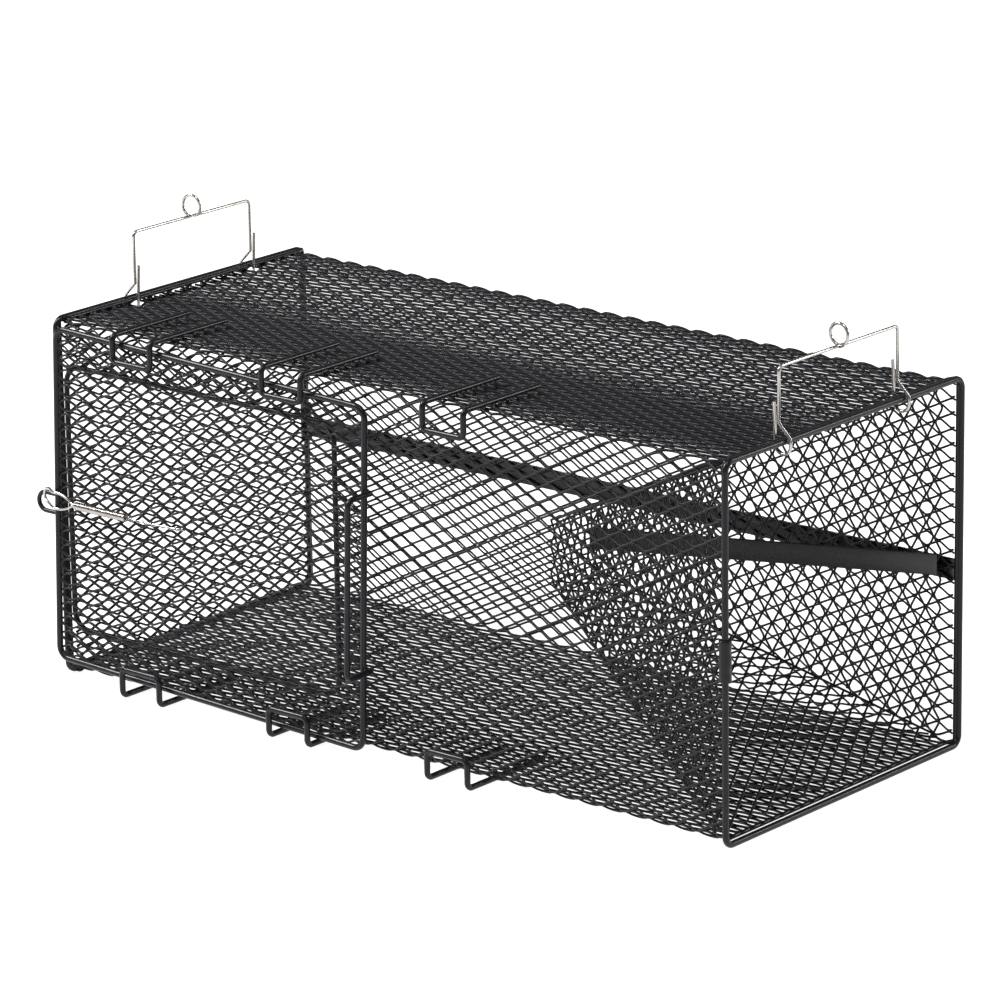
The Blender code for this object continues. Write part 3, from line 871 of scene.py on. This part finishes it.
class TRAP_OT_body_mesh(bpy.types.Operator):
    """Make the folded wrap of expanded mesh and the mesh wall of the closed end"""

    bl_idname = "trap.body_mesh"
    bl_label = "Body mesh"

    def execute(self, context):
        corners = [(0, BACK_Y, SEAM_Z), (0, BACK_Y, TOP_Z), (0, FRONT_Y, TOP_Z), (0, FRONT_Y, BOTTOM_Z),
                   (0, BACK_Y, BOTTOM_Z), (0, BACK_Y, SEAM_Z)]
        path = rounded(corners, FOLD_RADIUS, steps=10)
        first = next(i for i, place in enumerate(path) if place[2] > TOP_Z - 0.01)
        path[first + 1:first + 1] = self.sagging(path[first], path[first + 1])
        section = section_curve("wrap_section", path)
        step = row_step()
        saved = 2 * FOLD_RADIUS - FOLD_RADIUS * math.pi / 2
        sides = [TOP_Z - SEAM_Z, BACK_Y - FRONT_Y, TOP_Z - BOTTOM_Z, BACK_Y - FRONT_Y, SEAM_Z - BOTTOM_Z]
        ends = []
        total = 0.0
        for i, side in enumerate(sides):
            total += side - (saved if i < 4 else 0.0)
            ends.append(total + (saved / 2 if i < 4 else 0.0))
        limits = [0] + [round(e / step) for e in ends[:4]] + [int(ends[4] / step) + 1]
        names = ["back_upper", "top", "front", "bottom", "back_lower"]
        x = (FRAME_HIGH.x - FRAME_R + CORNER.x / MM, RIGHT_POST_X + FRAME_R + CORNER.x / MM)
        rim_low, rim_high = cad("door_opening_rim")
        top_fold = ends[1]
        cut = (rim_high.x - RIM_R + CORNER.x / MM,
               top_fold + (TOP_Z - rim_high.z + RIM_R) - FOLD_RADIUS * 0.2,
               top_fold + (TOP_Z - rim_low.z - RIM_R) - FOLD_RADIUS * 0.2)
        along_top = sides[0] - saved + BACK_Y - BAIL_Y["left"]
        notches = (BAIL_NOTCH_X + CORNER.x / MM, BAIL_NOTCH_HALF,
                   along_top - BAIL_HALF["left"], along_top + BAIL_HALF["left"])
        for name, first, last in zip(names, limits, limits[1:]):
            special = {"front": {"cut": cut}, "top": {"notches": notches}}.get(name, {})
            piece = sheet(f"{name}_expanded_mesh", x, last - first, first, section=section, **special)
            register_piece(piece, "cage", "mesh", f"{name}_mesh")
        bpy.data.objects.remove(section)

        low, high = cad("left_end_mesh")
        past_y, past_z = LEFT_END_PAST
        rows = int((high.z - low.z + 2 * past_z) / step) + 1
        place = frame_of((EDGE_X, 0, low.z - past_z), (0, 1, 0), (0, 0, 1))
        piece = sheet("left_end_expanded_mesh", (low.y - past_y, high.y + past_y), rows, place=place)
        register_piece(piece, "cage", "mesh", "left_end_mesh")
        return {"FINISHED"}

    def sagging(self, start, end):
        """Points between the ends of the wrap's top, which hangs a little in the middle."""
        points = []
        for k in range(1, 24):
            part = k / 24
            dip = TOP_SAG * (1 - math.cos(FULL_TURN * part)) / 2
            points.append(Vector((0, start[1] + (end[1] - start[1]) * part, TOP_Z - dip)))
        return points


class TRAP_OT_seam_strips(bpy.types.Operator):
    """Make the flat strips that close the seams of the wrap and of the funnel"""

    bl_idname = "trap.seam_strips"
    bl_label = "Seam strips"

    def execute(self, context):
        low, high = cad("back_seam_strip")
        half = (high.z - low.z) / 2
        thick = high.y - low.y
        start, end = FRAME_HIGH.x + 0.1, RIGHT_POST_X - 0.1
        place = frame_of((start, low.y, SEAM_Z), (1, 0, 0), (0, 0, 1))
        turn = Matrix.Scale(-1, 4, Vector((0, 0, 1)))
        self.strip("back_strip", end - start, half, thick, place @ turn, "back_seam_strip")

        y1 = funnel_corners()["outer"][(1, 0)][1]
        start = Vector((FUNNEL_OUT_X, y1, FUNNEL_SEAM_Z))
        end = Vector((MOUTH_X, MOUTH_Y[1], FUNNEL_SEAM_Z))
        along = end - start
        across = Vector((0, 0, 1))
        lift = along.normalized().cross(across)
        place = frame_of(start + lift * -SHEET_HALF, along, across)
        self.strip("funnel_strip", along.length, half, thick, place @ turn, "funnel_seam_strip")
        return {"FINISHED"}

    def strip(self, name, length, half, thick, place, node):
        """A strip with rounded long edges, pressed onto the mesh's strands at even spaces."""
        edge = thick * 0.5
        ring = []
        for cx, start_angle in ((half - edge, -90), (-half + edge, 90)):
            for k in range(7):
                angle = math.radians(start_angle + 180 * k / 6)
                ring.append((cx + edge * math.cos(angle), thick / 2 + edge * math.sin(angle)))
        work = bmesh.new()
        steps = max(2, int(length / 2.0))
        rows = []
        for i in range(steps + 1):
            x = length * i / steps
            squeeze = math.exp(-((x % STRIP_PRESS_EVERY - STRIP_PRESS_EVERY / 2) / STRIP_PRESS_HALF) ** 2)
            line = []
            for v, w in ring:
                pressed = squeeze * math.exp(-(v / (half * 0.45)) ** 2) if w > thick / 2 else 0.0
                dip = STRIP_PRESS_DEPTH * pressed
                line.append(work.verts.new(Vector((x, v, w - dip)) * MM))
            rows.append(line)
        count = len(ring)
        for a, b in zip(rows, rows[1:]):
            for i in range(count):
                j = (i + 1) % count
                work.faces.new((a[i], a[j], b[j], b[i]))
        work.faces.new(rows[0])
        work.faces.new(rows[-1])
        work.transform(place)
        bmesh.ops.recalc_face_normals(work, faces=work.faces)
        for face in work.faces:
            face.smooth = len(face.verts) == 4
        register_piece(piece_from(work, name, "strip_coating"), "cage", "strip", node)


def funnel_corners():
    """The corners of the funnel's open end and of its mouth."""
    y0, y1 = FUNNEL_FRONT_Y, BACK_Y - EDGE_INSET
    z0, z1 = BOTTOM_Z + FUNNEL_LIFT, TOP_Z - EDGE_INSET
    outer = {(0, 0): (y0, z0), (1, 0): (y1, z0), (1, 1): (y1, z1), (0, 1): (y0, z1)}
    return {
        "outer": {key: (FUNNEL_OUT_X, *place) for key, place in outer.items()},
        "inner": {(i, j): (MOUTH_X, MOUTH_Y[i], MOUTH_Z[j]) for i in (0, 1) for j in (0, 1)},
    }


class TRAP_OT_funnel(bpy.types.Operator):
    """Make the funnel's mesh walls and the strands along their folds"""

    bl_idname = "trap.funnel"
    bl_label = "Funnel"

    def execute(self, context):
        ends = funnel_corners()
        walls = {
            "bottom": ((0, 0), (1, 0)),
            "top": ((1, 1), (0, 1)),
            "front": ((0, 1), (0, 0)),
            "back": ((1, 0), (1, 1)),
        }
        step = row_step()
        for name, (a, b) in walls.items():
            corners = [Vector(ends["outer"][a]), Vector(ends["outer"][b]),
                       Vector(ends["inner"][b]), Vector(ends["inner"][a])]
            place = frame_of(corners[0], corners[1] - corners[0], corners[3] - corners[0])
            back = place.inverted()
            flat = [back @ at(*c) / MM for c in corners]
            deep = flat[3].y
            low_slope = flat[3].x / deep
            high_slope = (flat[2].x - flat[1].x) / deep
            rows = int(deep / step) + 1
            strands = (FUNNEL_STRAND_START, flat[1].x)
            fold = wire("fold", [[corners[1], corners[2]]], FUNNEL_FOLD_R, "mesh_vinyl", sides=8)
            if name != "back":
                piece = sheet(f"funnel_{name}_expanded_mesh", strands, rows, place=place,
                              low=(0.0, low_slope), high=(flat[1].x, high_slope),
                              lean=-1 if name == "front" else 1)
                piece = joined(f"funnel_{name}_folded_mesh", [piece, fold])
                register_piece(piece, "cage", "mesh", f"funnel_{name}_mesh")
                continue
            seam_out = (back @ at(FUNNEL_OUT_X, corners[0].y, FUNNEL_SEAM_Z) / MM).x
            seam_in = (back @ at(MOUTH_X, MOUTH_Y[1], FUNNEL_SEAM_Z) / MM).x
            seam_slope = (seam_in - seam_out) / deep
            for part, low, high in (("lower", (0.0, low_slope), (seam_out, seam_slope)),
                                    ("upper", (seam_out, seam_slope), (flat[1].x, high_slope))):
                piece = sheet(f"funnel_back_{part}_expanded_mesh", strands, rows, place=place,
                              low=low, high=high)
                if part == "upper":
                    piece = joined("funnel_back_folded_mesh", [piece, fold])
                register_piece(piece, "cage", "mesh", f"funnel_back_{part}_mesh")
        return {"FINISHED"}


class TRAP_OT_opening_rim(bpy.types.Operator):
    """Make the wire bound round the door opening"""

    bl_idname = "trap.opening_rim"
    bl_label = "Opening rim"

    def execute(self, context):
        low, high = cad("door_opening_rim")
        x0, x1 = low.x + RIM_R, high.x - RIM_R
        z0, z1 = low.z + RIM_R, high.z - RIM_R
        corners = [(x0, FRONT_Y, z0), (x1, FRONT_Y, z0), (x1, FRONT_Y, z1), (x0, FRONT_Y, z1)]
        piece = wire("opening_rim_wire", [rounded(corners, RIM_CORNER, closed=True)], RIM_R, "wire_vinyl",
                     closed=True)
        register_piece(piece, "cage", "coated_wire", "door_opening_rim")
        return {"FINISHED"}


class TRAP_OT_guides(bpy.types.Operator):
    """Make the six wire guides that the door's bars slide in"""

    bl_idname = "trap.guides"
    bl_label = "Door guides"

    def execute(self, context):
        for name, x in zip(("left", "middle", "right"), GUIDE_X):
            for level in ("upper", "lower"):
                y = cad(f"{level}_guide_{name}")[0].y + GUIDE_R
                z_run = TOP_Z + SHEET_HALF + GAP + GUIDE_R if level == "upper" else GUIDE_R
                z_end = GUIDE_END_Z[level]
                near, far = x - GUIDE_HALF, x + GUIDE_HALF
                corners = [(near, GUIDE_BACK, z_run), (near, y, z_run), (near, y, z_end)]
                corners += [(far, y, z_end), (far, y, z_run), (far, GUIDE_BACK, z_run)]
                piece = wire(f"{level}_{name}_guide", [rounded(corners, GUIDE_CORNER)], GUIDE_R, "wire_vinyl")
                register_piece(piece, "cage", "coated_wire", f"{level}_guide_{name}")
        return {"FINISHED"}


class TRAP_OT_catch(bpy.types.Operator):
    """Make the coated loop that the latch hooks on"""

    bl_idname = "trap.catch"
    bl_label = "Catch loop"

    def execute(self, context):
        turn_x = -CATCH_REACH + CATCH_HALF
        start = FRAME_LOW.x + 0.6
        path = [(start, CATCH_Y, CATCH_Z + CATCH_HALF)]
        for k in range(25):
            angle = math.pi / 2 + math.pi * k / 24
            turn_z = CATCH_Z + CATCH_HALF * math.sin(angle)
            path.append((turn_x + CATCH_HALF * math.cos(angle), CATCH_Y, turn_z))
        path.append((start, CATCH_Y, CATCH_Z - CATCH_HALF))
        loop = wire("catch", [path], CATCH_R, "wire_vinyl")
        beads = [blob((start, CATCH_Y, CATCH_Z + s * CATCH_HALF), (1.5, 1.7, 1.9)) for s in (-1, 1)]
        register_piece(joined("catch_wire_loop", [loop, *beads]), "cage", "coated_wire", "catch_loop")
        return {"FINISHED"}


def door_point(u, y, w):
    """A point of the door, from its centre along its own tilted axes, in the cage's millimetres."""
    cx, cy, cz = DOOR_CENTRE
    x = cx + u * math.cos(DOOR_TILT) + w * math.sin(DOOR_TILT)
    z = cz - u * math.sin(DOOR_TILT) + w * math.cos(DOOR_TILT)
    return (x, cy + y, z)


class TRAP_OT_door(bpy.types.Operator):
    """Make the sliding door: its ring, its mesh and its handle"""

    bl_idname = "trap.door"
    bl_label = "Door"

    def execute(self, context):
        hu, hw = DOOR_HALF
        corners = [door_point(u, 0, w) for u, w in ((-hu, -hw), (hu, -hw), (hu, hw), (-hu, hw))]
        piece = wire("door_ring_wire", [rounded(corners, DOOR_CORNER, closed=True)], DOOR_R, "wire_vinyl",
                     closed=True, sides=20)
        register_piece(piece, "door", "coated_wire", "door_ring")

        step = row_step()
        rows = int(2 * hw / step)
        start = door_point(-hu, 0, -hw + (2 * hw - (rows - 1) * step) / 2)
        place = frame_of(start, (math.cos(DOOR_TILT), 0, -math.sin(DOOR_TILT)), (0, 0, 1))
        piece = sheet("door_expanded_mesh", (0.0, 2 * hu), rows, place=place)
        register_piece(piece, "door", "mesh", "door_mesh")

        beside = hu + DOOR_R + HANDLE_R - 0.25
        low, high = HANDLE_Z
        corners = [(beside, DOOR_R, low), (beside, -HANDLE_REACH, low)]
        corners += [(beside, -HANDLE_REACH, high), (beside, DOOR_R, high)]
        path = rounded([door_point(*c) for c in corners], 4.0)
        grip = wire("grip", [path], HANDLE_R, "wire_vinyl")
        beads = [blob(door_point(hu + DOOR_R * 0.95, 0.2, z), (1.2, 2.0, 2.3)) for z in HANDLE_Z]
        register_piece(joined("door_pull", [grip, *beads]), "door", "coated_wire", "door_handle")
        return {"FINISHED"}


class TRAP_OT_latch(bpy.types.Operator):
    """Make the latch: its tie wire, its wound spring and its pear-shaped hook"""

    bl_idname = "trap.latch"
    bl_label = "Latch"

    def execute(self, context):
        sizes = context.scene.trap_wires
        z = LATCH[2]
        thin = sizes.spring_wire / MM / 2
        coil_r = sizes.spring_diameter / MM / 2 - thin
        x0, x1 = SPRING_X
        turns = int((x1 - x0 - 2.0) / (2 * thin * 1.04))
        coil = []
        for k in range(turns * SPRING_STEPS + 1):
            angle = FULL_TURN * k / SPRING_STEPS
            x = x0 + 1.0 + (x1 - x0 - 2.0) * k / (turns * SPRING_STEPS)
            coil.append((x, SPRING_Y + coil_r * math.cos(angle), z + coil_r * math.sin(angle)))
        ends = [(x0 - 1.2, SPRING_Y + 0.4, z - 0.6), (x0 - 0.2, SPRING_Y + coil_r * 0.7, z - 0.3)]
        path = smoothed(ends + coil[:1], 5)[:-1] + coil
        spring = wire("wound_spring", [path], thin, "spring_steel", sides=8)
        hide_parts("latch_spring")
        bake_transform(spring)

        far_x, far_y = LATCH[:2]
        tie = [(x1 - 1.2, SPRING_Y + coil_r, z), (x1 + 0.6, SPRING_Y + coil_r * 0.5, z + 0.5)]
        tie += [(x1 + 3.0, SPRING_Y, z + 0.1), (far_x - 22, far_y - 0.8, z - 0.3), (far_x - 5, far_y, z)]
        tie += [(far_x - 1.0, far_y + 0.6, z), (far_x, far_y + 2.2, z - 0.6)]
        core = smoothed(tie, 10)
        twist = []
        for k in range(TWIST_STEPS):
            along = k / (TWIST_STEPS - 1)
            angle = FULL_TURN * TWIST_TURNS * along
            place = TWIST_ENDS + along * (len(core) - 2 * TWIST_ENDS)
            centre = core[int(place)].lerp(core[int(place) + 1], place % 1)
            twist.append(centre + Vector((0, TWIST_OUT * math.cos(angle), TWIST_OUT * math.sin(angle))))
        pieces = [wire("core", [core], TIE_R, "spring_steel", sides=10),
                  wire("twist", [twist], TWIST_R, "spring_steel", sides=8)]
        register_piece(joined("tie_wire", pieces), "latch", "steel", "latch_anchor_wire")

        profile = [(x0 - 2.0, SPRING_Y, 0.9), (14.0, -9.3, 2.8), (8.0, -9.0, HOOK_HALF)]
        profile += [(2.5, -8.7, HOOK_HALF), (-4.0, -5.0, HOOK_HALF), (-8.6, -3.0, 2.9)]
        upper = [Vector((x, y, z + h)) for x, y, h in profile]
        lower = [Vector((x, y, z - h)) for x, y, h in reversed(profile)]
        line = [Vector((x0 + 1.5, SPRING_Y - 0.9, z)), *upper, Vector((-9.8, -2.7, z)), *lower,
                Vector((x0 + 0.4, SPRING_Y + 0.9, z - 0.3))]
        hook = wire("hook_wire", [smoothed(line, 6)], HOOK_R, "spring_steel", sides=14)
        register_piece(hook, "hook", "steel", "latch_hook")
        return {"FINISHED"}


class TRAP_OT_bails(bpy.types.Operator):
    """Make the two hooked rope bails with their wound eyes"""

    bl_idname = "trap.bails"
    bl_label = "Rope bails"

    def execute(self, context):
        joints = {joint["name"]: joint for joint in frame["joints"]}
        radius = context.scene.trap_wires.bail_diameter / MM / 2
        for side, outward in (("left", -1), ("right", 1)):
            pivot = (Vector(joints[f"{side}_bail_swing"]["pos_m"]) - CORNER) / MM
            path = self.path(side, pivot, outward)
            piece = wire(f"{side}_bail_wire", [path], radius, "spring_steel", sides=14)
            register_piece(piece, f"{side}_bail", "steel", f"{side}_rope_bail")
        return {"FINISHED"}

    def path(self, side, pivot, outward):
        """The bail's wire from one tail to the other: hook, leg, top bar, eye, top bar, leg, hook."""
        middle = BAIL_Y[side]

        def spot(out, y, up):
            return Vector((pivot.x + outward * out, y, pivot.z + up))

        foot = list(BAIL_TAIL)
        for k in range(13):
            angle = math.pi + math.pi * k / 12
            foot.append((BAIL_HOOK_R * math.cos(angle), BAIL_HOOK_R * math.sin(angle) - BAIL_HOOK_DROP))
        foot += [(BAIL_HOOK_R, BAIL_NECK_UP[0]), (-BAIL_LEG_IN, BAIL_NECK_UP[1])]
        near_y = middle - BAIL_HALF[side]
        far_y = middle + BAIL_HALF[side]
        near = [spot(out, near_y, up) for out, up in foot]
        far = [spot(out, far_y, up) for out, up in reversed(foot)]
        bend = [near[-1], spot(-BAIL_LEG_IN, near_y, BAIL_RISE), spot(-BAIL_LEG_IN, middle - 8, BAIL_RISE)]
        first = rounded(bend, 3.0)
        bend = [spot(-BAIL_LEG_IN, middle + 8, BAIL_RISE), spot(-BAIL_LEG_IN, far_y, BAIL_RISE), far[0]]
        second = rounded(bend, 3.0)
        eye = []
        for k in range(33):
            angle = -math.pi / 2 + FULL_TURN * k / 32
            y = middle - EYE_HALF + 2 * EYE_HALF * k / 32
            up = BAIL_RISE + EYE_R + EYE_R * math.sin(angle)
            eye.append(spot(-BAIL_LEG_IN + EYE_R * math.cos(angle), y, up))
        return near[:-1] + first + eye + second + far[1:]


class TRAP_OT_stage(bpy.types.Operator):
    """Make the floor, the lights and the camera"""

    bl_idname = "trap.stage"
    bl_label = "Stage"

    def execute(self, context):
        sizes = context.scene.trap_stage
        self.floor(sizes)
        self.world(sizes)
        for name, where, size, share in LIGHTS:
            self.light(name, where, size, sizes.key * share)
        self.camera(context)
        context.scene.view_settings.view_transform = "Standard"
        return {"FINISHED"}

    def floor(self, sizes):
        mesh = bpy.data.meshes.new("floor")
        reach = 14.0
        mesh.from_pydata([(-reach, -reach, 0), (reach, -reach, 0), (reach, reach, 0), (-reach, reach, 0)],
                         [], [(0, 1, 2, 3)])
        material, net, shader = begin_material("floor_paper", {"Roughness": 0.9, "Specular IOR Level": 0.1})
        where = net.node("ShaderNodeTexCoord", output="Object")
        grain = noise(net, where, 30.0, 3.0)
        colour = tuple(sizes.floor)
        tone = mixed(net, grain, shade(colour, 0.995), shade(colour, 1.0))
        net.tree.links.new(tone.socket, shader.inputs["Base Color"])
        shader.inputs["Emission Color"].default_value = (1, 1, 1, 1)
        shader.inputs["Emission Strength"].default_value = sizes.glow
        mesh.materials.append(material)
        add_object("floor", mesh)

    def world(self, sizes):
        world = bpy.data.worlds.new("studio")
        world.use_nodes = True
        back = world.node_tree.nodes["Background"]
        back.inputs["Color"].default_value = (1, 1, 1, 1)
        back.inputs["Strength"].default_value = sizes.sky
        bpy.context.scene.world = world

    def light(self, name, where, size, power):
        data = bpy.data.lights.new(name, "AREA")
        data.shape = "DISK"
        data.size = size
        data.energy = power
        lamp = add_object(name, data)
        lamp.location = where
        lamp.rotation_euler = (Vector((0, 0, 0.1)) - Vector(where)).to_track_quat("-Z", "Y").to_euler()

    def camera(self, context):
        """The camera stands in front of the trap's right end and looks slightly down."""
        level = math.cos(CAMERA_PITCH)
        forward = Vector((-math.sin(CAMERA_YAW) * level, math.cos(CAMERA_YAW) * level,
                          math.sin(CAMERA_PITCH)))
        right = forward.cross(Vector((0, 0, 1))).normalized()
        up = right.cross(forward)
        turned_right = right * math.cos(CAMERA_ROLL) + up * math.sin(CAMERA_ROLL)
        turned_up = up * math.cos(CAMERA_ROLL) - right * math.sin(CAMERA_ROLL)
        data = bpy.data.cameras.new("camera")
        data.sensor_width = 36.0
        data.lens = CAMERA_LENS
        data.clip_end = 100.0
        camera = add_object("camera", data)
        matrix = Matrix((turned_right, turned_up, -forward)).transposed().to_4x4()
        matrix.translation = at(*CAMERA_PLACE)
        camera.matrix_world = matrix
        context.scene.camera = camera


OPERATORS = (TRAP_OT_stage, TRAP_OT_end_frames, TRAP_OT_body_mesh, TRAP_OT_seam_strips, TRAP_OT_funnel,
             TRAP_OT_opening_rim, TRAP_OT_guides, TRAP_OT_catch, TRAP_OT_door, TRAP_OT_latch, TRAP_OT_bails)
GROUPS = {
    "trap_mesh": TrapMeshSizes,
    "trap_wires": TrapWireSizes,
    "trap_finishes": TrapFinishes,
    "trap_stage": TrapStageSizes,
}


class TRAP_PT_panel(bpy.types.Panel):
    """Lists the trap's sizes and its pieces"""

    bl_label = "Live catch trap"
    bl_idname = "TRAP_PT_panel"
    bl_space_type = "VIEW_3D"
    bl_region_type = "UI"
    bl_category = "Trap"

    def draw(self, context):
        for label in GROUPS:
            box = self.layout.box()
            group = getattr(context.scene, label)
            for key in group.bl_rna.properties.keys():
                if key not in ("rna_type", "name"):
                    box.prop(group, key)
        for operator in OPERATORS:
            self.layout.operator(operator.bl_idname)


def register():
    for item in (*GROUPS.values(), *OPERATORS, TRAP_PT_panel):
        bpy.utils.register_class(item)
    for label, group in GROUPS.items():
        setattr(bpy.types.Scene, label, bpy.props.PointerProperty(type=group))


def unregister():
    for label in GROUPS:
        delattr(bpy.types.Scene, label)
    for item in reversed((*GROUPS.values(), *OPERATORS, TRAP_PT_panel)):
        bpy.utils.unregister_class(item)


def main():
    register()
    for operator in OPERATORS:
        group, name = operator.bl_idname.split(".")
        getattr(getattr(bpy.ops, group), name)()


if __name__ == "__main__":
    main()
